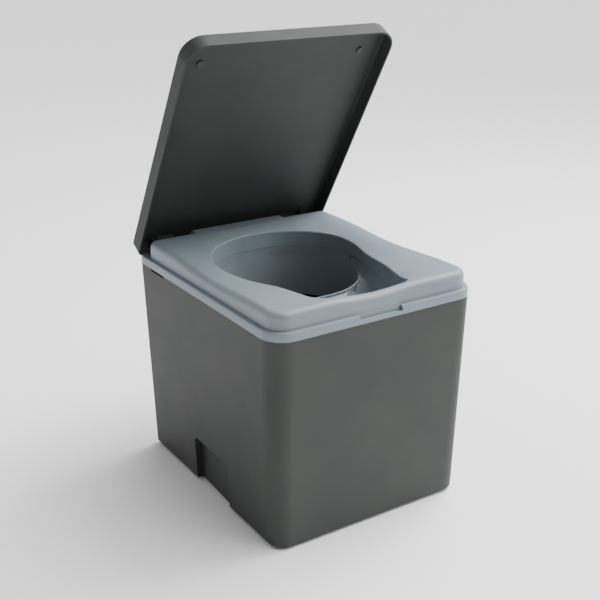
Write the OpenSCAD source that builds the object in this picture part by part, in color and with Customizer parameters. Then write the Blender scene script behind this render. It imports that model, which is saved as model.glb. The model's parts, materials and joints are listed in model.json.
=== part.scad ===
// Portable separating toilet: a tapered box housing, a saddle-shaped seat with its separating insert, and a
// hinged lid that stands part way open. The front faces -Y, the hinges are at +Y, and Z = 0 is the floor.

/* [Housing] */
// Outer width of the housing at its top edge
body_w = 316; // [290:1:380]
// Outer depth of the housing at its top edge
body_d = 370; // [340:1:440]
// Height of the housing without its feet
body_h = 291; // [270:1:350]
// How far each side leans in from the top edge to the bottom
body_draft = 8.5; // [4:0.5:12]
// Wall thickness of the housing
body_wall = 3; // [2.5:0.5:4]
// Radius of the two front upright corners
body_front_r = 30; // [24:1:40]
// Radius of the two rear upright corners
body_rear_r = 10; // [8:1:14]
// Radius of the bottom edge
body_edge_r = 3; // [2:0.5:4]
// Height of the rubber feet
foot_h = 3; // [2:0.5:6]
// Radius of a rubber foot
foot_r = 11; // [8:1:15]

/* [Side grips] */
// Length of each grip recess along the side
grip_l = 95; // [70:1:110]
// Height of each grip recess above the bottom edge
grip_h = 68; // [50:1:80]
// Depth of each grip recess
grip_depth = 15; // [10:1:18]
// Centre of each grip recess along the side
grip_y = -4.5; // [-10:0.5:10]
// Length of the notch in the top edge of each side
notch_l = 38; // [20:1:50]
// Height of the notch in the top edge of each side
notch_h = 3.4; // [2:0.2:6]
// Centre of the notch along the side
notch_y = 127; // [100:1:140]

/* [Seat] */
// Height of the flange that stands on the housing
flange_h = 11.5; // [11:0.5:15]
// Width of the ledge around the raised seat
ledge_w = 6; // [5:0.5:8]
// Width of the ledge behind the raised seat, where the hinges are
rear_ledge_w = 16; // [15:0.5:20]
// Height of the raised seat above the ledge
seat_rise = 23.5; // [20:0.5:28]
// How far the sides dip between the front and the rear
seat_dip = 5; // [2:0.5:7]
// How far the front edge dips in its middle
front_dip = 4; // [2:0.5:7]
// How far the seat falls from its crest to the edge of the opening
dish_drop = 7.5; // [3:0.5:10]
// Thickness of the seat moulding
seat_wall = 3; // [2.5:0.5:3.5]
// Width of the seat in front of the opening
lip_w = 15; // [15:0.5:22]
// Radius of the two rounded rear corners of the seat opening
hole_rear_r = 96; // [88:1:102]
// Distance between the centres of those rear corners
hole_rear_w = 24; // [6:1:30]
// Place of those centres from the middle of the housing
hole_rear_y = 34; // [20:1:38]
// Distance between the centres of the opening's front corners
hole_front_w = 94; // [80:1:110]
// Radius of the opening's front corners
hole_front_r = 18; // [14:1:24]
// Width of the finger notch in the flange
finger_w = 66; // [50:1:90]

/* [Insert] */
// Depth of the chute below the ledge
chute_drop = 81.5; // [70:0.5:84]
// Wall thickness of the insert
insert_wall = 2.6; // [2:0.1:3]
// Corner radius of the oval chute at its crest
chute_r = 92; // [84:1:94]
// Place of the chute's centre from the middle of the housing
chute_rear_y = 37; // [32:1:40]
// Depth of the crest between the chute and the urine bowl below the ledge
ridge_drop = 20.5; // [16:1:28]
// Place of the urine drain
drain_y = -112; // [-118:1:-106]
// Bore radius of the urine drain
drain_r = 12; // [8:1:14]
// Length of the drain spout
spout_l = 30; // [26:1:32]

/* [Lid] */
// Depth of the lid from its rim to its top face
lid_h = 23.8; // [22:0.2:30]
// Wall thickness of the lid
lid_wall = 2.3; // [2:0.1:3]
// Gap between the closed lid's rim and the ledge
lid_gap = 4.5; // [4:0.5:6]
// Radius of the lid's outer top edge
lid_edge_r = 4; // [3:0.5:6]
// Angle at which the lid stands open
lid_open = 59; // [0:1:95]
// Radius of a lid buffer
buffer_r = 5; // [4:0.5:7]

/* [Hinges] */
// Distance of the lid hinge axis from the rear face of the flange
lid_axis_in = 6.3; // [6.3:0.1:7]
// Height of the lid hinge axis above the bottom of the flange
lid_axis_up = 5.2; // [5.2:0.1:6]
// Radius of the lid hinge knuckles
lid_knuckle_r = 4.8; // [4.4:0.1:4.8]
// Radius of the lid hinge pins
lid_pin_r = 2.5; // [2:0.1:2.8]
// Distance of the seat hinge axis behind the flange
seat_axis_out = 4.8; // [4.8:0.1:5]
// Depth of the seat hinge axis below the flange
seat_axis_down = 7; // [7:0.1:9]
// Radius of the seat hinge knuckles
seat_knuckle_r = 3.8; // [3.6:0.1:3.8]
// Radius of the seat hinge pins
seat_pin_r = 1.8; // [1.5:0.1:2]
// Distance from the middle to the inner end of a hinge pocket
pocket_x = 82; // [80:1:84]
// Length of a hinge pocket
pocket_l = 64; // [62:1:66]
// Length of a lid knuckle
lid_knuckle_l = 27.4; // [22:0.2:28]
// Length of a seat knuckle
seat_knuckle_l = 12; // [9:0.5:12]

/* [Containers] */
// Width of the solids container at its rim
bin_w = 256; // [220:1:264]
// Depth of the solids container at its rim
bin_d = 216; // [190:1:222]
// Height of the solids container
bin_h = 208; // [170:1:210]
// Wall thickness of the solids container
bin_wall = 2.2; // [1.8:0.2:3]
// Width of the urine canister
can_w = 262; // [220:1:268]
// Depth of the urine canister
can_d = 98; // [80:1:102]
// Height of the canister up to its shoulder
can_h = 190; // [150:1:192]
// Height of the canister neck
neck_h = 24; // [16:1:26]
// Outer radius of the canister neck
neck_r = 24; // [22:1:28]
// Height of the canister handle over the shoulder
handle_h = 38; // [34:1:40]

/* [Hidden] */

// Clearances and small shared sizes
play = 0.3;            // between pieces that are put together
fit = 0.06;            // radial gap of a pin in the knuckle that turns on it
over = 1;              // overrun of a cut, or of a piece into the one it joins
tiny_r = 0.2;          // smallest corner radius
grip_r = 7;            // corners of the grip recesses
rib_t = 3;             // ribs on the housing floor
rib_h = 18;
foot_inset = 34;       // feet from the corners of the bottom
base_rim_in = 56;      // base rim from the sides of the bottom
base_rim_w = 8;
base_rim_r = 24;
roll_r = 8.5;            // outer top edge of the raised seat
lip_roll_r = 2.6;        // edge of the opening
flange_edge_r = 2.5;
raise_draft = 0.4;
raised_rear_r = 13;
hole_draft = 1;
hole_wall_drop = 7;    // how far the opening's wall reaches below the ledge
dip_y = -15;           // the sides' lowest place and how far the dip reaches
dip_reach = 125;
front_dip_reach = 75;
front_dip_from = 130;
front_dip_blend = 30;
dish_reach = 40;
tail_w = 156;          // middle of the seat's rear, between the hinges
tail_r = 5;
tail_gap = 1.6;
finger_depth = 5;
lower_lip = 5;
boss_r = 5.5;
boss_out = 5;          // boss centres from the opening's wall
boss_turn = 45;
boss_front_y = -60;
ear_r = 6;
ear_t = 3;
screw_r = 1.7;
screw_head_r = 3.4;
screw_head_h = 2.4;
screw_head_share = 0.8;
screw_gap = 0.12;
insert_screw_l = 12;
insert_taper = 7;
soft_turn = 34;        // turn over which the fall off the crest becomes the bowl's round wall
fall_reach = 52;       // how far the bowl's sides reach in, and the slope of its floor
floor_slope_share = 0.12;
rise_reach = 14;       // how far the bowl's wall curves out at its foot
rear_lap = 3;
bowl_floor_up = 21.5;
pocket_gap = 1.5;
pad_t = 4;             // wall of the seat in front of a hinge block
web_t = 2.4;
cheek_l = 12.3;
block_screw_in = 5;
block_screw_up = 4.6;
strap_t = 2.6;
strap_foot = 3.2;
strap_in = 7;
lug_l = 9.7;
lug_drop = 14;
lid_inner_r = 2;
lid_rib_x = 127;
lid_rib_t = 2.4;
lid_rib_l = 22.5;
lid_rib_low = 2;
buffer_x = 123;
buffer_in = 44;
bin_taper = 7;
bin_lip = 4;
bin_lip_h = 7;
bin_r = 26;
bin_edge_r = 6;
bin_clear = 3;
ring_t = 2;
ring_drop = 5;
can_r = 20;
can_front_r = 28;
can_edge_r = 10;
can_wall = 2.4;
handle_x = 46;         // inner end of the canister handle, and its bar
handle_t = 12;
handle_grip = 9;
handle_out = 14;
neck_ring_h = 5;
neck_ring_t = 2.5;

// Heights
body_top = foot_h + body_h;
ledge_z = body_top + flange_h;
crest_z = ledge_z + seat_rise;
floor_z = foot_h + body_wall;
rim_z = ledge_z + lid_gap;
lid_top = rim_z + lid_h;
hole_wall_z = ledge_z - hole_wall_drop;
collar_z = hole_wall_z - play;
chute_z = ledge_z - chute_drop;
ridge_z = ledge_z - ridge_drop;
ridge_y = chute_rear_y - chute_r;
bowl_floor_z = chute_z + bowl_floor_up;
spout_z = bowl_floor_z - spout_l;
bin_top = floor_z + bin_h;
can_top = floor_z + can_h;
draft_share = body_draft / body_h;
base_x = body_w / 2 - body_draft;
base_y = body_d / 2 - body_draft;

// Hinge axes as [y, z]
rear_y = body_d / 2;
lid_axis = [rear_y - lid_axis_in, body_top + lid_axis_up];
seat_axis = [rear_y + seat_axis_out, body_top - seat_axis_down];

// An outline is the convex hull of discs [x, y, r]; growing every disc gives the parallel outline
function frame_discs(w, front, rear, front_r, rear_r) = [
    [w / 2 - front_r, front + front_r, front_r], [-w / 2 + front_r, front + front_r, front_r],
    [w / 2 - rear_r, rear - rear_r, rear_r], [-w / 2 + rear_r, rear - rear_r, rear_r]];
function grown(discs, by) = [for (c = discs) let (r = c.z + by, lack = max(0, tiny_r - r))
    [c.x - sign(c.x) * lack, c.y - sign(c.y) * lack, max(r, tiny_r)]];

// How far an outline reaches from mid along a direction
normal_count = 180;
normals = [for (k = [0:normal_count - 1]) [cos(360 * k / normal_count), sin(360 * k / normal_count)]];
grazing_share = 0.05;
function supports(discs, mid) = [for (n = normals)
    max([for (c = discs) (c.x - mid.x) * n.x + (c.y - mid.y) * n.y + c.z])];
function reach(d, hs) = min([for (k = [0:normal_count - 1])
    let (along = d * normals[k]) if (along > grazing_share) hs[k] / along]);
function outline(discs, mid, dirs) = let (hs = supports(discs, mid)) [for (d = dirs) mid + d * reach(d, hs)];
// The same outline with everything behind a line across left out
function front_outline(discs, mid, dirs, back_y) = let (hs = supports(discs, mid))
    [for (d = dirs) mid + d * min(reach(d, hs), d.y > grazing_share ? (back_y - mid.y) / d.y : body_d)];

// A ring is a list of points; heights come as one value or as a list
function lift(points, z) = [for (i = [0:len(points) - 1])
    [points[i].x, points[i].y, is_list(z) ? z[i] : z]];
function mixed(a, b, share) = [for (i = [0:len(a) - 1]) a[i] + (b[i] - a[i]) * share];
function smooth(share) = let (s = max(0, min(1, share))) s * s * (3 - 2 * s);

// Directions on both sides of the middle line, from rows of [angle from the front, steps to the next row]
function half_turn(rows) = [for (k = [0:len(rows) - 2]) for (i = [0:rows[k][1] - 1])
    rows[k][0] + (rows[k + 1][0] - rows[k][0]) * i / rows[k][1]];
function whole_turn(rows) = let (half = half_turn(rows))
    [for (a = concat(half, [180], [for (i = [len(half) - 1:-1:1]) 360 - half[i]])) [sin(a), -cos(a)]];
function angle_to(x, y, mid) = atan2(x, mid.y - y);

// Rounded edges as rows of [share of the radius across, share of the radius up]
edge_steps = 4;
edge_shares = [for (k = [0:edge_steps]) [1 - cos(90 * k / edge_steps), sin(90 * k / edge_steps)]];

// Solid from closed rings that also join last to first
module ring_solid(rings) {
    n = len(rings[0]);
    m = len(rings);
    polyhedron([for (r = rings) for (p = r) p],
        [for (j = [0:m - 1]) for (i = [0:n - 1]) let (
            a = j * n + i, b = j * n + (i + 1) % n,
            c = ((j + 1) % m) * n + (i + 1) % n, d = ((j + 1) % m) * n + i)
            for (t = [[a, c, b], [a, d, c]]) t]);
}

// Solid from closed rings whose first and last are filled in
module tub_solid(rings) {
    n = len(rings[0]);
    m = len(rings);
    polyhedron([for (r = rings) for (p = r) p], concat(
        [[for (i = [0:n - 1]) i]],
        [for (j = [0:m - 2]) for (i = [0:n - 1]) let (
            a = j * n + i, b = j * n + (i + 1) % n, c = b + n, d = a + n)
            for (t = [[a, c, b], [a, d, c]]) t],
        [[for (i = [n - 1:-1:0]) (m - 1) * n + i]]));
}

// Joins its children into one mesh
module as_mesh() {
    resize([0, 0, 0])
        union()
            children();
}

module both_sides() {
    for (s = [0, 1])
        mirror([s, 0, 0])
            children();
}

// Outline of the housing at a height, grown by a length
middle = [0, 0];
body_discs = frame_discs(body_w, -body_d / 2, body_d / 2, body_front_r, body_rear_r);
body_dirs = whole_turn([
    [0, 3],
    [angle_to(body_w / 2 - body_front_r, -body_d / 2, middle), 8],
    [angle_to(body_w / 2, -body_d / 2 + body_front_r, middle), 6],
    [angle_to(body_w / 2, body_d / 2 - body_rear_r, middle), 5],
    [angle_to(body_w / 2 - body_rear_r, body_d / 2, middle), 3],
    [180, 1]]);
function body_ring(z, by) =
    lift(outline(grown(body_discs, by - draft_share * (body_top - z)), middle, body_dirs), z);

module housing_shell() {
    tub_solid(concat(
        [for (s = edge_shares) body_ring(foot_h + body_edge_r * s.x, -body_edge_r * (1 - s.y))],
        [body_ring(body_top, 0), body_ring(body_top, -body_wall), body_ring(floor_z, -body_wall)]));
}

// Grip recess at +X, or with extra the wall behind it
grip_x = body_w / 2 - body_draft - grip_depth;
module grip_void(extra) {
    translate([grip_x - extra, grip_y, foot_h])
        rotate([90, 0, 90])
            linear_extrude(grip_depth + body_draft + over)
                hull() {
                    translate([-grip_l / 2 - extra, -over])
                        square([grip_l + 2 * extra, over]);
                    for (s = [-1, 1])
                        translate([s * (grip_l / 2 - grip_r), grip_h - grip_r])
                            circle(grip_r + extra, $fn = 24);
                }
}

// Containers' places along the housing
bin_rear_y = body_d / 2 - body_draft - body_wall - bin_clear;
bin_front_y = bin_rear_y - bin_d;
can_rear_y = bin_front_y - play;
can_front_y = can_rear_y - can_d;
rib_w = body_w - 2 * body_draft - 2 * body_wall - 2 * body_front_r;
bin_base_in = bin_lip + bin_taper * (1 - rib_h / bin_h);
rib_ys = [can_rear_y + play, bin_front_y + bin_base_in - play - rib_t, bin_rear_y - bin_base_in + play];

// Lug of the seat hinge on the rear wall
strap_x = pocket_x + pocket_l - strap_in - seat_knuckle_l;
module housing_lug(x0) {
    difference() {
        union() {
            translate([x0, seat_axis.x, seat_axis.y])
                rotate([0, 90, 0])
                    cylinder(r = seat_knuckle_r, h = lug_l, $fn = 48);
            translate([x0, 0, 0])
                rotate([90, 0, 90])
                    linear_extrude(lug_l)
                        polygon([[rear_y - body_wall / 2, seat_axis.y + seat_knuckle_r],
                            [seat_axis.x, seat_axis.y + seat_knuckle_r],
                            [seat_axis.x + seat_knuckle_r, seat_axis.y],
                            [rear_y - body_wall / 2, seat_axis.y - lug_drop]]);
        }
        translate([x0 - over, seat_axis.x, seat_axis.y])
            rotate([0, 90, 0])
                cylinder(r = seat_pin_r, h = lug_l + 2 * over, $fn = 48);
    }
}

// Rim in the middle of the underside, level with the feet
module base_outline(by) {
    hull()
        for (sx = [-1, 1], sy = [-1, 1])
            translate([sx * (base_x - base_rim_in - base_rim_r), sy * (base_y - base_rim_in - base_rim_r)])
                circle(base_rim_r - by, $fn = 32);
}
module base_rim() {
    linear_extrude(foot_h + over)
        difference() {
            base_outline(0);
            base_outline(base_rim_w);
        }
}

module housing() {
    color("#585a59") {
        as_mesh()
            difference() {
                union() {
                    housing_shell();
                    intersection() {
                        both_sides()
                            grip_void(body_wall);
                        tub_solid([body_ring(foot_h, -body_wall / 2), body_ring(body_top, -body_wall / 2)]);
                    }
                    base_rim();
                    for (y = rib_ys)
                        translate([-rib_w / 2, y, floor_z - over])
                            cube([rib_w, rib_t, rib_h + over]);
                }
                both_sides() {
                    grip_void(0);
                    translate([body_w / 2 - 2 * body_wall, notch_y - notch_l / 2, body_top - notch_h])
                        cube([3 * body_wall, notch_l, notch_h + over]);
                }
            }
        both_sides() {
            housing_lug(strap_x - play - lug_l);
            housing_lug(strap_x + seat_knuckle_l + play);
        }
    }
}

module foot(sx, sy) {
    color("#1d1e1e")
        translate([sx * (base_x - foot_inset), sy * (base_y - foot_inset), 0])
            cylinder(r1 = foot_r - foot_h / 3, r2 = foot_r, h = foot_h, $fn = 48);
}

module seat_pin(side) {
    color("#b9bcc0")
        translate([side * (strap_x + seat_knuckle_l / 2), seat_axis.x, seat_axis.y])
            rotate([0, 90, 0])
                cylinder(r = seat_pin_r, h = seat_knuckle_l + 2 * lug_l, center = true, $fn = 48);
}

// Solids container
bin_mid = [0, (bin_front_y + bin_rear_y) / 2];
bin_discs = frame_discs(bin_w, bin_front_y, bin_rear_y, bin_r, bin_r);
bin_dirs = whole_turn([
    [0, 3],
    [angle_to(bin_w / 2 - bin_r, bin_front_y, bin_mid), 6],
    [angle_to(bin_w / 2, bin_front_y + bin_r, bin_mid), 4],
    [angle_to(bin_w / 2, bin_rear_y - bin_r, bin_mid), 6],
    [angle_to(bin_w / 2 - bin_r, bin_rear_y, bin_mid), 3],
    [180, 1]]);
function bin_ring(z, by) = lift(outline(
    grown(bin_discs, by - bin_lip - bin_taper * (bin_top - z) / bin_h), bin_mid, bin_dirs), z);
module solids_container() {
    color("#3c3f40")
        as_mesh()
            tub_solid([
                bin_ring(floor_z, -bin_edge_r),
                bin_ring(floor_z + bin_edge_r * (1 - cos(45)), -bin_edge_r * (1 - sin(45))),
                bin_ring(floor_z + bin_edge_r, 0),
                bin_ring(bin_top - bin_lip_h, 0), bin_ring(bin_top - bin_lip_h, bin_lip),
                bin_ring(bin_top, bin_lip), bin_ring(bin_top, -bin_wall),
                bin_ring(floor_z + bin_edge_r, -bin_wall),
                bin_ring(floor_z + bin_wall, -bin_edge_r)]);
}

// Ring that holds a liner bag on the container's rim
module liner_ring() {
    color("#8b9094")
        ring_solid([
            bin_ring(bin_top, bin_lip), bin_ring(bin_top + ring_t, bin_lip),
            bin_ring(bin_top + ring_t, -bin_wall - play - ring_t),
            bin_ring(bin_top - ring_drop, -bin_wall - play - ring_t),
            bin_ring(bin_top - ring_drop, -bin_wall - play), bin_ring(bin_top, -bin_wall - play)]);
}

// Urine canister
can_mid = [0, (can_front_y + can_rear_y) / 2];
can_discs = frame_discs(can_w, can_front_y, can_rear_y, can_front_r, can_r);
can_dirs = whole_turn([
    [0, 4],
    [angle_to(can_w / 2 - can_front_r, can_front_y, can_mid), 6],
    [angle_to(can_w / 2, can_front_y + can_front_r, can_mid), 2],
    [angle_to(can_w / 2, can_rear_y - can_r, can_mid), 6],
    [angle_to(can_w / 2 - can_r, can_rear_y, can_mid), 4],
    [180, 1]]);
function can_ring(z, by) = lift(outline(grown(can_discs, by), can_mid, can_dirs), z);
function can_rings(by) = concat(
    [for (a = [0, 45, 90]) let (up = can_edge_r * (1 - cos(a)), in = can_edge_r * (1 - sin(a)))
        can_ring(floor_z - by + up, by - in)],
    [for (a = [90, 45, 0]) let (down = can_edge_r * (1 - cos(a)), in = can_edge_r * (1 - sin(a)))
        can_ring(can_top + by - down, by - in)]);
module urine_canister() {
    color("#d9dcd8")
        as_mesh()
            difference() {
                tub_solid(can_rings(0));
                tub_solid(can_rings(-can_wall));
                translate([0, drain_y, can_top - 2 * can_wall])
                    cylinder(r = neck_r - can_wall, h = 3 * can_wall, $fn = 64);
            }
}

// Carrying loop, welded on the canister's shoulder beside the neck
handle_end = can_w / 2 - handle_out;
module canister_handle() {
    color("#d9dcd8")
        translate([0, can_mid.y + handle_t, can_top])
            rotate([90, 0, 0])
                linear_extrude(2 * handle_t)
                    difference() {
                        hull() {
                            translate([handle_x, 0])
                                square([handle_end - handle_x, over]);
                            for (x = [handle_x + handle_t, handle_end - handle_t])
                                translate([x, handle_h - handle_t])
                                    circle(handle_t, $fn = 32);
                        }
                        hull()
                            for (x = [handle_x + 2 * handle_grip, handle_end - 2 * handle_grip])
                                translate([x, handle_h / 2 - over])
                                    circle(handle_grip, $fn = 32);
                    }
}

// Filler neck, welded on the canister's shoulder
module canister_neck() {
    color("#d9dcd8")
        translate([0, drain_y, can_top])
            difference() {
                cylinder(r = neck_r, h = neck_h, $fn = 64);
                translate([0, 0, -over])
                    cylinder(r = neck_r - can_wall, h = neck_h + 2 * over, $fn = 64);
            }
}

// Sealing ring on the canister's neck
module canister_neck_ring() {
    color("#2c2e2f")
        translate([0, drain_y, can_top + neck_h - neck_ring_h])
            difference() {
                cylinder(r = neck_r + neck_ring_t, h = neck_ring_h, $fn = 64);
                translate([0, 0, -over])
                    cylinder(r = neck_r + fit, h = neck_ring_h + 2 * over, $fn = 64);
            }
}

// Outlines of the seat: the flange, the raised part and the opening
raised_discs = frame_discs(body_w - 2 * ledge_w, -body_d / 2 + ledge_w, body_d / 2 - rear_ledge_w,
    body_front_r - ledge_w, raised_rear_r);
hole_front_y = -body_d / 2 + ledge_w + lip_w + hole_front_r;
hole_discs = [[hole_rear_w / 2, hole_rear_y, hole_rear_r], [-hole_rear_w / 2, hole_rear_y, hole_rear_r],
    [hole_front_w / 2, hole_front_y, hole_front_r], [-hole_front_w / 2, hole_front_y, hole_front_r]];
seat_mid = [0, dip_y];
seat_dirs = whole_turn([
    [0, 2],
    [angle_to(hole_front_w / 2, hole_front_y - hole_front_r, seat_mid), 4],
    [angle_to(hole_front_w / 2 + hole_front_r, hole_front_y, seat_mid), 2],
    [angle_to(body_w / 2 - body_front_r, -body_d / 2, seat_mid), 6],
    [angle_to(body_w / 2, -body_d / 2 + body_front_r, seat_mid), 13],
    [angle_to(body_w / 2 - ledge_w, body_d / 2 - rear_ledge_w - raised_rear_r, seat_mid), 5],
    [angle_to(body_w / 2 - raised_rear_r - ledge_w, body_d / 2 - rear_ledge_w, seat_mid), 7],
    [180, 1]]);
function seat_outline(discs, by) = outline(grown(discs, by), seat_mid, seat_dirs);

// Height that the crest loses along the sides and across the front
function dip_at(p) = seat_dip * smooth(1 - abs(p.y - dip_y) / dip_reach)
    + front_dip * smooth(1 - abs(p.x) / front_dip_reach) * smooth((-p.y - front_dip_from) / front_dip_blend);
function falls(points, z) = [for (p = points) z - dip_at(p)];

// The saddle-shaped moulding, as rings from the foot of the flange over the crest and down into the opening
top_shares = [0.25, 0.5, 0.75];
module seat_shell() {
    crest = seat_outline(raised_discs, -raise_draft - roll_r);
    hole_out = seat_outline(hole_discs, lip_roll_r);
    crest_zs = falls(crest, crest_z);
    lip_zs = [for (i = [0:len(crest) - 1])
        crest_zs[i] - dish_drop * smooth(norm(crest[i] - hole_out[i]) / dish_reach)];
    inner_side = seat_outline(raised_discs, -raise_draft - seat_wall);
    ring_solid(concat(
        [lift(seat_outline(body_discs, 0), body_top)],
        [for (k = [0, 2, edge_steps]) let (s = edge_shares[k])
            lift(seat_outline(body_discs, -flange_edge_r * s.x), ledge_z - flange_edge_r * (1 - s.y))],
        [lift(seat_outline(raised_discs, 0), ledge_z)],
        [for (s = edge_shares)
            let (p = seat_outline(raised_discs, -raise_draft - roll_r * s.x))
            lift(p, falls(p, crest_z - roll_r * (1 - s.y)))],
        [for (t = top_shares)
            lift(mixed(crest, hole_out, t), [for (i = [0:len(crest) - 1])
                crest_zs[i] + (lip_zs[i] - crest_zs[i]) * t * t])],
        [for (k = [edge_steps:-1:0]) let (s = edge_shares[k])
            lift(seat_outline(hole_discs, lip_roll_r * s.x), [for (z = lip_zs) z - lip_roll_r * (1 - s.y)])],
        [lift(seat_outline(hole_discs, -hole_draft), hole_wall_z),
         lift(seat_outline(hole_discs, -hole_draft + seat_wall), hole_wall_z),
         lift(seat_outline(hole_discs, seat_wall), [for (z = lip_zs) z - lip_roll_r]),
         lift(mixed(crest, hole_out, top_shares[1]), [for (i = [0:len(crest) - 1])
            crest_zs[i] + (lip_zs[i] - crest_zs[i]) * top_shares[0] - seat_wall]),
         lift(crest, [for (z = crest_zs) z - seat_wall]),
         lift(inner_side, falls(inner_side, crest_z - roll_r)),
         lift(inner_side, ledge_z - seat_wall),
         lift(seat_outline(body_discs, -seat_wall), ledge_z - seat_wall),
         lift(seat_outline(body_discs, -seat_wall), body_top)]));
}

// The middle of the seat's rear reaches back between the hinges
tail_y = rear_y - lid_wall - tail_gap;
tail_front = rear_y - rear_ledge_w - roll_r - tail_r;
module seat_tail() {
    hull()
        for (sx = [-1, 1]) {
            translate([sx * (tail_w / 2 - tail_r), tail_y - tail_r, ledge_z - seat_wall])
                cylinder(r = tail_r, h = seat_rise + seat_wall - tail_r, $fn = 16);
            for (y = [tail_y - tail_r, tail_front])
                translate([sx * (tail_w / 2 - tail_r), y, crest_z - tail_r])
                    sphere(r = tail_r, $fn = 16);
            translate([sx * (tail_w / 2 - tail_r), tail_front, crest_z - 2 * tail_r])
                cylinder(r = seat_wall, h = seat_wall, $fn = 16);
        }
}
module tail_void() {
    x = tail_w / 2 - seat_wall;
    y = tail_y - seat_wall;
    translate([-x, tail_front + tail_r, body_top - over])
        cube([2 * x, y - tail_front - tail_r, crest_z - seat_wall - tail_r / 2 - body_top + over]);
}

// Places of the screws that hold the insert, on the +X side, and the way to the opening from each
side_hs = supports(hole_discs, [0, boss_front_y]);
boss_off = seat_wall - hole_draft + boss_out;
boss_way = hole_rear_r + boss_off;
bosses = [[hole_rear_w / 2 + boss_way * sin(boss_turn), hole_rear_y + boss_way * cos(boss_turn)],
    [reach([1, 0], side_hs) + boss_off, boss_front_y]];
boss_ins = [[-sin(boss_turn), -cos(boss_turn)], [-1, 0]];

pocket_front = rear_y - rear_ledge_w + pocket_gap;
block_screw_xs = [pocket_x + block_screw_in, pocket_x + pocket_l - block_screw_in];
block_screw_z = body_top + block_screw_up;
module seat() {
    color("#98a2ab")
        as_mesh()
            difference() {
                union() {
                    difference() {
                        union() {
                            seat_shell();
                            seat_tail();
                        }
                        tail_void();
                        both_sides()
                            translate([pocket_x, pocket_front, body_top - over])
                                cube([pocket_l, rear_ledge_w, flange_h + 2 * over]);
                    }
                    both_sides() {
                        translate([pocket_x, pocket_front - pad_t, body_top + play])
                            cube([pocket_l, pad_t, flange_h - 2 * play]);
                        for (b = bosses)
                            translate([b.x, b.y, hole_wall_z])
                                cylinder(r = boss_r, h = ledge_z - hole_wall_z + seat_rise / 2, $fn = 32);
                    }
                    // Backs the finger notch, so that it has a floor
                    translate([-finger_w / 2 - seat_wall, -rear_y + seat_wall - over / 2, body_top + play])
                        cube([finger_w + 2 * seat_wall, finger_depth + over, flange_h - 2 * play]);
                }
                both_sides() {
                    for (x = block_screw_xs)
                        translate([x, pocket_front + over, block_screw_z])
                            rotate([90, 0, 0])
                                cylinder(r = screw_r + screw_gap, h = pad_t + 3 * over, $fn = 24);
                    for (b = bosses)
                        translate([b.x, b.y, hole_wall_z - over])
                            cylinder(r = screw_r + screw_gap, h = insert_screw_l + over, $fn = 24);
                }
                translate([-finger_w / 2, -rear_y - over, body_top + lower_lip])
                    cube([finger_w, finger_depth + over, flange_h]);
            }
}

// Separating insert: an oval chute, the crest round its front and the urine bowl before the crest
chute_mid = [0, chute_rear_y];
chute_discs = [[hole_rear_w / 2, chute_rear_y, chute_r], [-hole_rear_w / 2, chute_rear_y, chute_r]];
chute_dirs = whole_turn([[0, 18], [180, 1]]);
function chute_outline(by) = outline(grown(chute_discs, by), chute_mid, chute_dirs);
function rear_wall(by) = outline(grown(hole_discs, by - hole_draft), chute_mid, chute_dirs);
module chute_tube() {
    ring_solid([
        lift(chute_outline(insert_wall - insert_taper), chute_z),
        lift(chute_outline(insert_wall), ridge_z - over),
        lift(chute_outline(0), ridge_z - over), lift(chute_outline(-insert_taper), chute_z)]);
}
// The wall behind the crest, from the collar down to the oval
module chute_rear() {
    intersection() {
        ring_solid([
            lift(chute_outline(insert_wall), ridge_z - 2 * over), lift(rear_wall(insert_wall), collar_z),
            lift(rear_wall(0), collar_z), lift(chute_outline(0), ridge_z),
            lift(chute_outline(0), ridge_z - 2 * over)]);
        translate([-body_w / 2, bowl_back - rear_lap, 0])
            cube([body_w, body_d, crest_z]);
    }
}
module chute_void() {
    tub_solid([lift(chute_outline(-insert_taper), chute_z), lift(chute_outline(0), ridge_z),
        lift(chute_outline(0), ledge_z)]);
}

// Bowl, as rings from the spout out to the edge on the underside and back down inside. At the rear it falls
// softly off the crest, elsewhere it falls from the wall, which curves out at its foot.
bowl_mid = [0, drain_y];
bowl_back = hole_rear_y;
bowl_dirs = whole_turn([
    [0, 3],
    [angle_to(hole_front_w / 2, hole_front_y - hole_front_r, bowl_mid), 4],
    [angle_to(hole_front_w / 2 + hole_front_r, hole_front_y, bowl_mid), 9],
    [angle_to(hole_rear_w / 2 + hole_rear_r, bowl_back, bowl_mid), 7],
    [180, 1]]);
bowl_outer = front_outline(grown(hole_discs, insert_wall - hole_draft), bowl_mid, bowl_dirs, bowl_back);
bowl_inner = front_outline(grown(hole_discs, -hole_draft), bowl_mid, bowl_dirs, bowl_back);
drop_shares = [0, 0.04, 0.1, 0.18, 0.28, 0.4, 0.55, 0.76, 1];
chute_way = [hole_rear_w / 2, chute_rear_y - drain_y];
tangent_way = sqrt(chute_way * chute_way - chute_r * chute_r);
tangent_turn = atan2(chute_way.x, chute_way.y) + asin(chute_r / norm(chute_way));
function round_share(d) = smooth((abs(atan2(d.x, d.y)) - tangent_turn) / soft_turn);
function crest_way(d, way) = let (
        b = abs(d.x) * chute_way.x + d.y * chute_way.y,
        h = b * b - tangent_way * tangent_way)
    min(way, b > 0 && h > 0 ? b - sqrt(h) : tangent_way + (way - tangent_way) * round_share(d));
function wall_rise(p) = p.y > bowl_back - tiny_r ? 0 :
    let (gap = norm([max(abs(p.x) - hole_rear_w / 2, 0), p.y - chute_rear_y]) - chute_r) min(rise_reach, gap);
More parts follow.
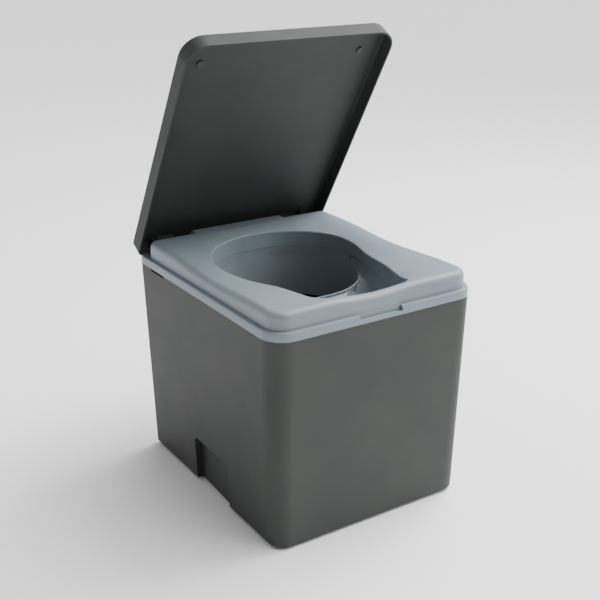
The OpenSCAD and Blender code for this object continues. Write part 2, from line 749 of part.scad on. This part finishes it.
function bowl_z(d, at, way, rise) = let (
        r = norm(at - bowl_mid),
        edge_way = crest_way(d, way),
        e = max(0, min(1, (edge_way - r) / min(fall_reach, edge_way - drain_r))),
        k = round_share(d),
        base = bowl_floor_z + floor_slope_share * max(0, r - drain_r),
        up = rise > 0 ? max(0, 1 - (way - r) / rise) : 0)
    ridge_z - (ridge_z - base) * ((1 - k) * smooth(e) + k * (1 - (1 - e) * (1 - e)))
        + (collar_z - ridge_z) * up * up;
function bowl_ring(edge, share, r, down) = let (
        points = [for (i = [0:len(edge) - 1]) edge[i] + (bowl_mid + bowl_dirs[i] * r - edge[i]) * share])
    lift(points, [for (i = [0:len(edge) - 1])
        bowl_z(bowl_dirs[i], points[i], norm(edge[i] - bowl_mid), wall_rise(edge[i])) - down]);
function drain_points(r) = [for (d = bowl_dirs) bowl_mid + d * r];
module bowl() {
    last = len(drop_shares) - 1;
    ring_solid(concat(
        [for (k = [last:-1:0])
            bowl_ring(bowl_outer, drop_shares[k], drain_r + insert_wall, k > 0 ? insert_wall : 0)],
        [for (k = [0:last]) bowl_ring(bowl_inner, drop_shares[k], drain_r, 0)],
        [lift(drain_points(drain_r), spout_z), lift(drain_points(drain_r + insert_wall), spout_z)]));
}

module separator_insert() {
    color("#7d858c")
        as_mesh()
            difference() {
                union() {
                    difference() {
                        bowl();
                        chute_void();
                    }
                    chute_tube();
                    chute_rear();
                    both_sides()
                        for (k = [0:len(bosses) - 1])
                            hull() {
                                translate([bosses[k].x, bosses[k].y, collar_z - ear_t])
                                    cylinder(r = ear_r, h = ear_t, $fn = 32);
                                translate([bosses[k].x + boss_ins[k].x * (boss_off + hole_draft - over),
                                        bosses[k].y + boss_ins[k].y * (boss_off + hole_draft - over),
                                        collar_z - ear_t])
                                    cylinder(r = over / 2, h = ear_t, $fn = 32);
                            }
                }
                both_sides()
                    for (b = bosses)
                        translate([b.x, b.y, collar_z - ear_t - over])
                            cylinder(r = screw_r + play, h = ear_t + 2 * over, $fn = 24);
            }
}

// Screw with its head below the origin and its shank along +Z
module screw(l) {
    cylinder(r = screw_r, h = l, $fn = 32);
    translate([0, 0, -screw_head_h])
        cylinder(r1 = screw_head_r * screw_head_share, r2 = screw_head_r, h = screw_head_h, $fn = 32);
}

module insert_screws() {
    color("#b9bcc0")
        both_sides()
            for (b = bosses)
                translate([b.x, b.y, collar_z - ear_t])
                    screw(insert_screw_l);
}

module hinge_block_screws() {
    color("#b9bcc0")
        both_sides()
            for (x = block_screw_xs)
                translate([x, pocket_front - pad_t, block_screw_z])
                    rotate([-90, 0, 0])
                        screw(pad_t + block_screw_in - play);
}

// Hinge block: fills a pocket of the seat, holds the lid pin and carries the seat knuckle
knuckle_x = pocket_x + cheek_l;
block_h = flange_h - 2 * play;
strap_y = rear_y + play + strap_t;
module hinge_block() {
    base_z = body_top + play;
    difference() {
        union() {
            for (span = [[pocket_x + play, knuckle_x - play],
                    [knuckle_x + lid_knuckle_l + play, pocket_x + pocket_l - play]])
                translate([span[0], pocket_front, base_z])
                    cube([span[1] - span[0], rear_y - pocket_front, block_h]);
            translate([pocket_x + play, pocket_front, base_z])
                cube([pocket_l - 2 * play, web_t, block_h]);
            // Strap down to the seat knuckle
            translate([strap_x, 0, 0])
                rotate([90, 0, 90])
                    linear_extrude(seat_knuckle_l)
                        polygon([[rear_y - over, base_z], [rear_y - over, base_z + strap_foot],
                            [rear_y + play, base_z + strap_foot], [strap_y, base_z + play],
                            [strap_y, seat_axis.y + seat_knuckle_r],
                            [seat_axis.x, seat_axis.y + seat_knuckle_r], [seat_axis.x, seat_axis.y],
                            [rear_y + play, seat_axis.y], [rear_y + play, base_z]]);
            translate([strap_x, seat_axis.x, seat_axis.y])
                rotate([0, 90, 0])
                    cylinder(r = seat_knuckle_r, h = seat_knuckle_l, $fn = 48);
        }
        translate([strap_x - over, seat_axis.x, seat_axis.y])
            rotate([0, 90, 0])
                cylinder(r = seat_pin_r + fit, h = seat_knuckle_l + 2 * over, $fn = 48);
        translate([pocket_x - over, lid_axis.x, lid_axis.y])
            rotate([0, 90, 0])
                cylinder(r = lid_pin_r, h = pocket_l + 2 * over, $fn = 48);
        for (x = block_screw_xs)
            translate([x, pocket_front + block_screw_in, block_screw_z])
                rotate([90, 0, 0])
                    cylinder(r = screw_r + screw_gap, h = block_screw_in + over, $fn = 32);
    }
}

module hinge_block_on(side) {
    color("#3a3c3b")
        mirror([side < 0 ? 1 : 0, 0, 0])
            hinge_block();
}

module lid_pin(side) {
    color("#b9bcc0")
        translate([side * (pocket_x + pocket_l / 2), lid_axis.x, lid_axis.y])
            rotate([0, 90, 0])
                cylinder(r = lid_pin_r, h = pocket_l - 2 * play, center = true, $fn = 48);
}

// Lid, drawn closed and then turned about its hinge
module opened() {
    translate([0, lid_axis.x, lid_axis.y])
        rotate([-lid_open, 0, 0])
            translate([0, -lid_axis.x, -lid_axis.y])
                children();
}

function lid_ring(z, by) = lift(outline(grown(body_discs, by), middle, body_dirs), z);
module lid_shell() {
    tub_solid(concat(
        [lid_ring(lid_top - lid_wall, -lid_wall - lid_inner_r),
         lid_ring(lid_top - lid_wall - lid_inner_r, -lid_wall),
         lid_ring(rim_z, -lid_wall), lid_ring(rim_z, 0)],
        [for (s = edge_shares) lid_ring(lid_top - lid_edge_r * (1 - s.y), -lid_edge_r * s.x)]));
}
panel_z = lid_top - lid_wall / 2;
lid_rear_y = rear_y - lid_wall / 2;
module lid_arm() {
    difference() {
        union() {
            translate([knuckle_x, lid_axis.x, lid_axis.y])
                rotate([0, 90, 0])
                    cylinder(r = lid_knuckle_r, h = lid_knuckle_l, $fn = 48);
            translate([knuckle_x, 0, 0])
                rotate([90, 0, 90])
                    linear_extrude(lid_knuckle_l)
                        polygon([[lid_axis.x - lid_knuckle_r, lid_axis.y],
                            [lid_axis.x - lid_knuckle_r, panel_z], [lid_rear_y, panel_z], [lid_rear_y, rim_z],
                            [lid_axis.x + lid_knuckle_r / 2, lid_axis.y]]);
        }
        translate([knuckle_x - over, lid_axis.x, lid_axis.y])
            rotate([0, 90, 0])
                cylinder(r = lid_pin_r + fit, h = lid_knuckle_l + 2 * over, $fn = 48);
    }
}
// Thin rib beside the arm, between the rear wall and the panel
module lid_rib() {
    translate([lid_rib_x, 0, 0])
        rotate([90, 0, 90])
            linear_extrude(lid_rib_t)
                polygon([[lid_rear_y, rim_z + lid_rib_low], [lid_rear_y, panel_z],
                    [rear_y - lid_rib_l, panel_z], [rear_y - lid_rib_l, crest_z + over],
                    [rear_y - rear_ledge_w + 2 * over, crest_z + over],
                    [rear_y - rear_ledge_w + 4 * over, rim_z + lid_rib_low]]);
}
module lid() {
    color("#4a4c4b")
        opened()
            union() {
                as_mesh() {
                    lid_shell();
                    both_sides()
                        lid_rib();
                }
                both_sides()
                    lid_arm();
            }
}

module lid_buffer(side) {
    h = lid_top - lid_wall - crest_z - play;
    color("#2c2e2f")
        opened()
            translate([side * buffer_x, -rear_y + buffer_in, lid_top - lid_wall - h])
                cylinder(r = buffer_r, h = h, $fn = 48);
}

housing();
foot(-1, -1);  // foot_front_left
foot(1, -1);  // foot_front_right
foot(-1, 1);  // foot_rear_left
foot(1, 1);  // foot_rear_right
seat_pin(-1);  // seat_pin_left
seat_pin(1);  // seat_pin_right
solids_container();
liner_ring();
urine_canister();
canister_neck();
canister_handle();
canister_neck_ring();
seat();
separator_insert();
insert_screws();
hinge_block_on(-1);  // hinge_block_left
hinge_block_on(1);  // hinge_block_right
hinge_block_screws();
lid_pin(-1);  // lid_pin_left
lid_pin(1);  // lid_pin_right
lid();
lid_buffer(-1);  // lid_buffer_left
lid_buffer(1);  // lid_buffer_right
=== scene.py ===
import json
import math
import bmesh
import bpy
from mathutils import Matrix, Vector


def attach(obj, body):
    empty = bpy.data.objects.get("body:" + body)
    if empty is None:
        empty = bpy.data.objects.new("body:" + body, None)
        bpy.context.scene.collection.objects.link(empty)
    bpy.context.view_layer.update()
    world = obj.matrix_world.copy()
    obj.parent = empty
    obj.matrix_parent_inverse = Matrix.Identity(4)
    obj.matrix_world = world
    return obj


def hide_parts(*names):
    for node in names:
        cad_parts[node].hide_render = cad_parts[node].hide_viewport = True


# Portable separating toilet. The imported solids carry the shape. The larger ones get copies with softened
# edges, the small ones stay, and each gets a finish made after the real piece.

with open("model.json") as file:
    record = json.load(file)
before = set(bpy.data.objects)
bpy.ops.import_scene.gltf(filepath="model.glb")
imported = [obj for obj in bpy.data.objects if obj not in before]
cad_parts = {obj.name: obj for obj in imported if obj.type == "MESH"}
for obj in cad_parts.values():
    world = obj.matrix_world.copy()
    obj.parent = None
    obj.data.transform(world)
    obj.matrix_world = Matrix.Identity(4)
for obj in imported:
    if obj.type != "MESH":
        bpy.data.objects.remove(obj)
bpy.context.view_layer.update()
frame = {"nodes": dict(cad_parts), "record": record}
mm = 0.001
print("frame loaded")


def linear(hexCode):
    values = [int(hexCode[i:i + 2], 16) / 255 for i in (1, 3, 5)]
    return [v / 12.92 if v <= 0.04045 else ((v + 0.055) / 1.055) ** 2.4 for v in values] + [1]


# Adds a node with its settings and its links. A link is (input, from node, output).
def addNode(tree, kind, settings=None, links=()):
    node = tree.nodes.new(kind)
    for key, value in (settings or {}).items():
        if key in node.inputs:
            node.inputs[key].default_value = value
        else:
            setattr(node, key, value)
    for name, source, output in links:
        tree.links.new(source.outputs[output], node.inputs[name])
    return node


def startMaterial(name):
    material = bpy.data.materials.new(name)
    material.use_nodes = True
    tree = material.node_tree
    tree.nodes.clear()
    shader = addNode(tree, "ShaderNodeBsdfPrincipled")
    addNode(tree, "ShaderNodeOutputMaterial", links=[("Surface", shader, "BSDF")])
    place = addNode(tree, "ShaderNodeTexCoord")
    return material, tree, shader, place


# What all the moulded plastics share: where the two tints lie in the cloud, how strong the grain is, the
# patches that hands leave, how much patches and grain change the roughness, and how wide the painted edge
# highlight is
moulding = {
    "ior": 1.52, "tintFrom": 0.3, "tintTo": 0.7, "pitShare": 0.7, "grainStrength": 0.35, "handledMm": 38,
    "handledFrom": 0.35, "handledTo": 0.7, "handledRough": 0.02, "grainRough": 0.04, "highlightEdgeMm": 1.6,
    "highlightEdgeFrom": 0.985, "highlightEdgeTo": 0.86, "edgeSamples": 6,
}


# Injection moulded ABS or polypropylene: the tool's etched grain scatters the light, the colour shifts
# a little over a hand's width, and the edges get a paler colour as a painted highlight
def mouldedPlastic(name, look):
    material, tree, shader, place = startMaterial(name)
    flow = addNode(tree, "ShaderNodeTexNoise", {"Scale": 1 / (look["cloudMm"] * mm), "Detail": 2.0},
                   [("Vector", place, "Object")])
    tint = addNode(tree, "ShaderNodeValToRGB", links=[("Fac", flow, "Fac")])
    tint.color_ramp.elements[0].position = moulding["tintFrom"]
    tint.color_ramp.elements[0].color = linear(look["low"])
    tint.color_ramp.elements[1].position = moulding["tintTo"]
    tint.color_ramp.elements[1].color = linear(look["high"])
    grain = addNode(tree, "ShaderNodeTexNoise",
                    {"Scale": 1 / (look["grainMm"] * mm), "Detail": 3.0, "Roughness": 0.6},
                    [("Vector", place, "Object")])
    pits = addNode(tree, "ShaderNodeTexVoronoi", {"Scale": 1 / (look["grainMm"] * moulding["pitShare"] * mm)},
                   [("Vector", place, "Object")])
    relief = addNode(tree, "ShaderNodeMath", {"operation": "ADD"}, [(0, grain, "Fac"), (1, pits, "Distance")])
    handled = addNode(tree, "ShaderNodeTexNoise",
                      {"Scale": 1 / (moulding["handledMm"] * mm), "Detail": 5.0, "Roughness": 0.7},
                      [("Vector", place, "Object")])
    patches = addNode(tree, "ShaderNodeMapRange",
                      {"From Min": moulding["handledFrom"], "From Max": moulding["handledTo"],
                       "To Min": look["rough"] - moulding["handledRough"],
                       "To Max": look["rough"] + moulding["handledRough"]},
                      [("Value", handled, "Fac")])
    fine = addNode(tree, "ShaderNodeMapRange",
                   {"To Min": -moulding["grainRough"], "To Max": moulding["grainRough"]},
                   [("Value", grain, "Fac")])
    gloss = addNode(tree, "ShaderNodeMath", {"operation": "ADD"},
                    [(0, patches, "Result"), (1, fine, "Result")])
    soft = addNode(tree, "ShaderNodeBevel",
                   {"samples": moulding["edgeSamples"], "Radius": look["edgeMm"] * mm})
    bump = addNode(tree, "ShaderNodeBump",
                   {"Strength": moulding["grainStrength"], "Distance": look["depthMm"] * mm},
                   [("Height", relief, "Value"), ("Normal", soft, "Normal")])
    # Painted highlight: a bevel lookup finds the edges, and there the colour is mixed towards a paler tint
    highlightBevel = addNode(tree, "ShaderNodeBevel",
                     {"samples": moulding["edgeSamples"], "Radius": moulding["highlightEdgeMm"] * mm})
    facing = addNode(tree, "ShaderNodeNewGeometry")
    turned = addNode(tree, "ShaderNodeVectorMath", {"operation": "DOT_PRODUCT"},
                     [(0, highlightBevel, "Normal"), (1, facing, "Normal")])
    paintedHighlightMask = addNode(tree, "ShaderNodeMapRange",
                    {"From Min": moulding["highlightEdgeFrom"], "From Max": moulding["highlightEdgeTo"],
                     "To Max": look["edgeHighlightShare"]},
                    [("Value", turned, "Value")])
    colour = addNode(tree, "ShaderNodeMixRGB", {"Color2": linear(look["edgeHighlight"])},
                     [("Fac", paintedHighlightMask, "Result"), ("Color1", tint, "Color")])
    tree.links.new(colour.outputs["Color"], shader.inputs["Base Color"])
    tree.links.new(gloss.outputs["Value"], shader.inputs["Roughness"])
    tree.links.new(bump.outputs["Normal"], shader.inputs["Normal"])
    shader.inputs["IOR"].default_value = moulding["ior"]
    shader.inputs["Specular IOR Level"].default_value = look["shine"]
    return material


# Ground stainless pins and screws: fine grinding marks make the gloss uneven
def groundSteel(name, look):
    material, tree, shader, place = startMaterial(name)
    marks = addNode(tree, "ShaderNodeTexNoise", {"Scale": 1 / (look["grainMm"] * mm), "Detail": 2.0},
                    [("Vector", place, "Object")])
    gloss = addNode(tree, "ShaderNodeMapRange", {"To Min": look["smooth"], "To Max": look["rough"]},
                    [("Value", marks, "Fac")])
    tree.links.new(gloss.outputs["Result"], shader.inputs["Roughness"])
    shader.inputs["Base Color"].default_value = linear(look["colour"])
    shader.inputs["Metallic"].default_value = 1
    return material


# A colour that drifts between two tints, with the same cloud as a slight unevenness of the surface
def cloudedFinish(name, look):
    material, tree, shader, place = startMaterial(name)
    cloud = addNode(tree, "ShaderNodeTexNoise",
                    {"Scale": 1 / (look["cloudMm"] * mm), "Detail": look["detail"]},
                    [("Vector", place, "Object")])
    tint = addNode(tree, "ShaderNodeValToRGB", links=[("Fac", cloud, "Fac")])
    tint.color_ramp.elements[0].color = linear(look["low"])
    tint.color_ramp.elements[1].color = linear(look["high"])
    bump = addNode(tree, "ShaderNodeBump", {"Strength": look["strength"], "Distance": look["depthMm"] * mm},
                   [("Height", cloud, "Fac")])
    tree.links.new(tint.outputs["Color"], shader.inputs["Base Color"])
    tree.links.new(bump.outputs["Normal"], shader.inputs["Normal"])
    shader.inputs["Roughness"].default_value = look["rough"]
    shader.inputs["IOR"].default_value = look["ior"]
    return material, shader


# Blow moulded HDPE: milky and waxy, a little light passes through
def milkyPolyethylene(name, look):
    material, shader = cloudedFinish(name, {"detail": 3.0, "strength": 0.3, "depthMm": 0.3, "rough": 0.42,
                                            "ior": 1.54, **look})
    shader.inputs["Subsurface Weight"].default_value = look["through"]
    shader.inputs["Subsurface Scale"].default_value = look["throughMm"] * mm
    return material


# Compression moulded rubber: dull, with a dusty bloom
def mouldedRubber(name, look):
    return cloudedFinish(name, {"detail": 4.0, "strength": 0.4, "depthMm": 0.15, "rough": 0.78, "ior": 1.5,
                                **look})[0]


# Grain sizes are drawn about three times as coarse as the tool's etching, so that they show in the picture
# In each finish, the paler edge tint and its share paint a highlight along the edges
housingPlastic = mouldedPlastic("grained dark grey polypropylene", {
    "low": "#343735", "high": "#393b39", "cloudMm": 90, "grainMm": 1.1, "depthMm": 0.10, "rough": 0.6,
    "edgeMm": 0.7, "shine": 0.26, "edgeHighlight": "#5a5d5b", "edgeHighlightShare": 0.3})
lidPlastic = mouldedPlastic("grained dark grey polypropylene, lid", {
    "low": "#333634", "high": "#373a38", "cloudMm": 90, "grainMm": 1.1, "depthMm": 0.08, "rough": 0.62,
    "edgeMm": 0.7, "shine": 0.2, "edgeHighlight": "#4c4f4d", "edgeHighlightShare": 0.2})
seatPlastic = mouldedPlastic("satin pale grey ABS", {
    "low": "#737d86", "high": "#78838c", "cloudMm": 70, "grainMm": 0.9, "depthMm": 0.05, "rough": 0.48,
    "edgeMm": 0.8, "shine": 0.38, "edgeHighlight": "#8b949b", "edgeHighlightShare": 0.15})
# The insert's tints are a shade darker than the seat's: painted shade for the inside of the deep bowl
insertPlastic = mouldedPlastic("satin pale grey ABS, insert", {
    "low": "#717a82", "high": "#767f87", "cloudMm": 70, "grainMm": 0.9, "depthMm": 0.05, "rough": 0.5,
    "edgeMm": 0.6, "shine": 0.3, "edgeHighlight": "#767f87", "edgeHighlightShare": 0.0})
hingePlastic = mouldedPlastic("glass filled polyamide", {
    "low": "#2a2c2b", "high": "#2f3130", "cloudMm": 30, "grainMm": 0.8, "depthMm": 0.06, "rough": 0.55,
    "edgeMm": 0.4, "shine": 0.35, "edgeHighlight": "#4a4c4b", "edgeHighlightShare": 0.4})
binPlastic = mouldedPlastic("smooth dark polypropylene", {
    "low": "#2c2f30", "high": "#313435", "cloudMm": 80, "grainMm": 1.4, "depthMm": 0.05, "rough": 0.4,
    "edgeMm": 0.6, "shine": 0.4, "edgeHighlight": "#4b4e4f", "edgeHighlightShare": 0.4})
ringPlastic = mouldedPlastic("smooth grey polypropylene", {
    "low": "#6f7478", "high": "#75797d", "cloudMm": 60, "grainMm": 1.2, "depthMm": 0.04, "rough": 0.42,
    "edgeMm": 0.5, "shine": 0.4, "edgeHighlight": "#8a8e92", "edgeHighlightShare": 0.3})
canisterPlastic = milkyPolyethylene("blow moulded HDPE", {
    "low": "#c9ccc6", "high": "#d6d9d3", "cloudMm": 26, "through": 0.25, "throughMm": 4})
footRubber = mouldedRubber("black rubber", {"low": "#151616", "high": "#1f2020", "cloudMm": 5})
softRubber = mouldedRubber("dark grey rubber", {"low": "#323433", "high": "#3a3c3b", "cloudMm": 4})
pinSteel = groundSteel("ground stainless steel", {
    "colour": "#b9bcc0", "grainMm": 0.7, "smooth": 0.25, "rough": 0.42})
print("materials made")


def bodyOf(node):
    for body, names in frame["record"]["behaviour"]["bodies"].items():
        if node in names:
            return body


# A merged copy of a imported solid's mesh
def mergedShape(node, settings):
    shape = bmesh.new()
    shape.from_mesh(frame["nodes"][node].data)
    bmesh.ops.remove_doubles(shape, verts=shape.verts, dist=settings["mergeMm"] * mm)
    return shape


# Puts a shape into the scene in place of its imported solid
def standIn(node, name, shape, material):
    mesh = bpy.data.meshes.new(name)
    shape.to_mesh(mesh)
    shape.free()
    mesh.materials.append(material)
    piece = bpy.data.objects.new(name, mesh)
    bpy.context.scene.collection.objects.link(piece)
    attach(piece, bodyOf(node))
    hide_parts(node)
    return piece


# The grip recess is deeper at the back than at the front
def slantRecess(shape, recess):
    for vert in shape.verts:
        x, y, z = vert.co / mm
        onFloor = abs(abs(x) - recess["floorX"]) < recess["within"]
        if onFloor and recess["front"] <= y <= recess["back"] and z < recess["top"]:
            share = (y - recess["front"]) / (recess["back"] - recess["front"])
            depth = recess["frontX"] + share * (recess["backX"] - recess["frontX"])
            vert.co.x = math.copysign(depth * mm, x)


# The insert's rim stays up under the seat's wall where the bowl meets the chute
def raiseRim(shape, rim):
    for vert in shape.verts:
        x, y, z = vert.co / mm
        wall = rim["wallX"] + (y - rim["front"]) * rim["wallSlope"]
        if rim["front"] < y < rim["back"] and z > rim["low"] and abs(x) > wall - rim["within"]:
            vert.co.z = max(z, rim["top"]) * mm


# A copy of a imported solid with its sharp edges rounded, that stands for the solid
def softenedCopy(node, name, material, settings):
    shape = mergedShape(node, settings)
    if "recess" in settings:
        slantRecess(shape, settings["recess"])
    if "rim" in settings:
        raiseRim(shape, settings["rim"])
    bmesh.ops.dissolve_limit(shape, angle_limit=math.radians(settings["flatAngle"]), verts=shape.verts,
                             edges=shape.edges)
    sharp = [e for e in shape.edges
             if len(e.link_faces) == 2 and e.calc_face_angle() > math.radians(settings["sharpAngle"])]
    bmesh.ops.bevel(shape, geom=sharp, offset=settings["edgeMm"] * mm, offset_type="OFFSET",
                    segments=settings["steps"], profile=0.5, affect="EDGES", clamp_overlap=True, material=-1)
    for face in shape.faces:
        face.smooth = True
    crease = math.radians(settings["creaseAngle"])
    for edge in shape.edges:
        edge.smooth = len(edge.link_faces) < 2 or edge.calc_face_angle() < crease
    piece = standIn(node, name, shape, material)
    flats = piece.modifiers.new("flats", "WEIGHTED_NORMAL")
    flats.keep_sharp = True


# Sizes are in millimetres and angles in degrees
edges = {"mergeMm": 0.01, "flatAngle": 0.4, "edgeMm": 0.5, "steps": 2, "sharpAngle": 40, "creaseAngle": 38}
recess = {"floorX": 134.5, "within": 0.2, "front": -53, "back": 44, "top": 72, "frontX": 144.3,
          "backX": 139.5}
rim = {"front": -3, "back": 33.5, "low": 272, "top": 298.1, "wallX": 100.7, "wallSlope": 0.2, "within": 1.4}
softened = {
    "housing": ("housingShell", housingPlastic, {**edges, "recess": recess}),
    "lid": ("lidShell", lidPlastic, {**edges, "edgeMm": 0.4}),
    "seat": ("seatShell", seatPlastic, edges),
    "separator_insert": ("separatorShell", insertPlastic,
                         {**edges, "edgeMm": 0.3, "creaseAngle": 62, "rim": rim}),
    "solids_container": ("solidsBin", binPlastic, edges),
    "liner_ring": ("linerRing", ringPlastic, {**edges, "edgeMm": 0.3}),
    "urine_canister": ("urineCanister", canisterPlastic, {**edges, "edgeMm": 0.4}),
    "canister_neck": ("canisterNeck", canisterPlastic, {**edges, "edgeMm": 0.3}),
    "canister_handle": ("canisterHandle", canisterPlastic, {**edges, "edgeMm": 1.2, "steps": 3}),
    "hinge_block_left": ("hingeBlockLeft", hingePlastic, {**edges, "edgeMm": 0.4}),
    "hinge_block_right": ("hingeBlockRight", hingePlastic, {**edges, "edgeMm": 0.4}),
}
for node, (name, material, settings) in softened.items():
    softenedCopy(node, name, material, settings)
    print("softened", node)

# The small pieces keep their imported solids
kept = {
    "foot_front_left": footRubber, "foot_front_right": footRubber,
    "foot_rear_left": footRubber, "foot_rear_right": footRubber,
    "seat_pin_left": pinSteel, "seat_pin_right": pinSteel,
    "canister_neck_ring": softRubber,
    "insert_screws": pinSteel, "hinge_block_screws": pinSteel,
    "lid_pin_left": pinSteel, "lid_pin_right": pinSteel,
    "lid_buffer_left": softRubber, "lid_buffer_right": softRubber,
}
for node, material in kept.items():
    piece = frame["nodes"][node]
    piece.data.materials.clear()
    piece.data.materials.append(material)
print("kept solids finished")

# A pale floor in a lit room, whose walls get darker in front of the toilet and to its left
studio = {"floorSize": 60.0, "floor": "#fbfbfb", "floorRough": 0.7, "wall": 0.65, "darkWall": 0.2,
          "darkWay": (-0.54, -0.84, 0), "darkFrom": -0.3, "darkTo": 0.9}
floorMaterial, _, floorShader, _ = startMaterial("pale studio floor")
floorShader.inputs["Base Color"].default_value = linear(studio["floor"])
floorShader.inputs["Roughness"].default_value = studio["floorRough"]
floorShape = bmesh.new()
bmesh.ops.create_grid(floorShape, x_segments=2, y_segments=2, size=studio["floorSize"] / 2)
floorMesh = bpy.data.meshes.new("floor")
floorShape.to_mesh(floorMesh)
floorShape.free()
floorMesh.materials.append(floorMaterial)
floor = bpy.data.objects.new("floor", floorMesh)
bpy.context.scene.collection.objects.link(floor)

world = bpy.data.worlds.new("studio")
bpy.context.scene.world = world
world.use_nodes = True
room = world.node_tree
walls = room.nodes["Background"]
walls.inputs["Color"].default_value = (1, 1, 1, 1)
heading = addNode(room, "ShaderNodeTexCoord")
towardsDark = addNode(room, "ShaderNodeVectorMath", {"operation": "DOT_PRODUCT"}, [(0, heading, "Generated")])
towardsDark.inputs[1].default_value = studio["darkWay"]
glow = addNode(room, "ShaderNodeMapRange",
               {"From Min": studio["darkFrom"], "From Max": studio["darkTo"], "To Min": studio["wall"],
                "To Max": studio["darkWall"]},
               [("Value", towardsDark, "Value")])
room.links.new(glow.outputs["Result"], walls.inputs["Strength"])


def aimedAt(thing, target):
    way = Vector(target) - thing.location
    thing.rotation_euler = way.to_track_quat("-Z", "Y").to_euler()


# Soft light from the right and above, and two weak panels that leave the near corner a little darker
lamps = {
    "ceiling": {"kind": "SUN", "place": (0.9, -0.2, 1.2), "aim": (0, 0, 0), "angle": 80, "power": 4.4},
    "topPanel": {"kind": "AREA", "place": (1.5, 0.0, 2.0), "aim": (0, 0, 0.25), "size": 1.6, "power": 80},
    "leftPanel": {"kind": "AREA", "place": (-2.3, 1.2, 0.9), "aim": (0, 0, 0.2), "size": 1.4, "power": 6},
    "rightPanel": {"kind": "AREA", "place": (1.5, -2.4, 0.9), "aim": (0, 0, 0.2), "size": 1.4, "power": 5},
}
for name, lamp in lamps.items():
    light = bpy.data.lights.new(name, lamp["kind"])
    light.energy = lamp["power"]
    if lamp["kind"] == "SUN":
        light.angle = math.radians(lamp["angle"])
    else:
        light.shape = "SQUARE"
        light.size = lamp["size"]
    lightObject = bpy.data.objects.new(name, light)
    lightObject.location = lamp["place"]
    aimedAt(lightObject, lamp["aim"])
    bpy.context.scene.collection.objects.link(lightObject)

# The camera's place comes from the edges of the housing in the photograph
view = {"place": (-0.7263, -1.1192, 0.7704), "target": (-0.0011, 0.0, 0.2608), "lens": 61.374,
        "sensor": 36, "farEnd": 100}
camera = bpy.data.cameras.new("camera")
camera.lens = view["lens"]
camera.sensor_width = view["sensor"]
camera.sensor_fit = "HORIZONTAL"
camera.clip_end = view["farEnd"]
cameraObject = bpy.data.objects.new("camera", camera)
cameraObject.location = view["place"]
aimedAt(cameraObject, view["target"])
bpy.context.scene.collection.objects.link(cameraObject)
bpy.context.scene.camera = cameraObject
print("studio set")
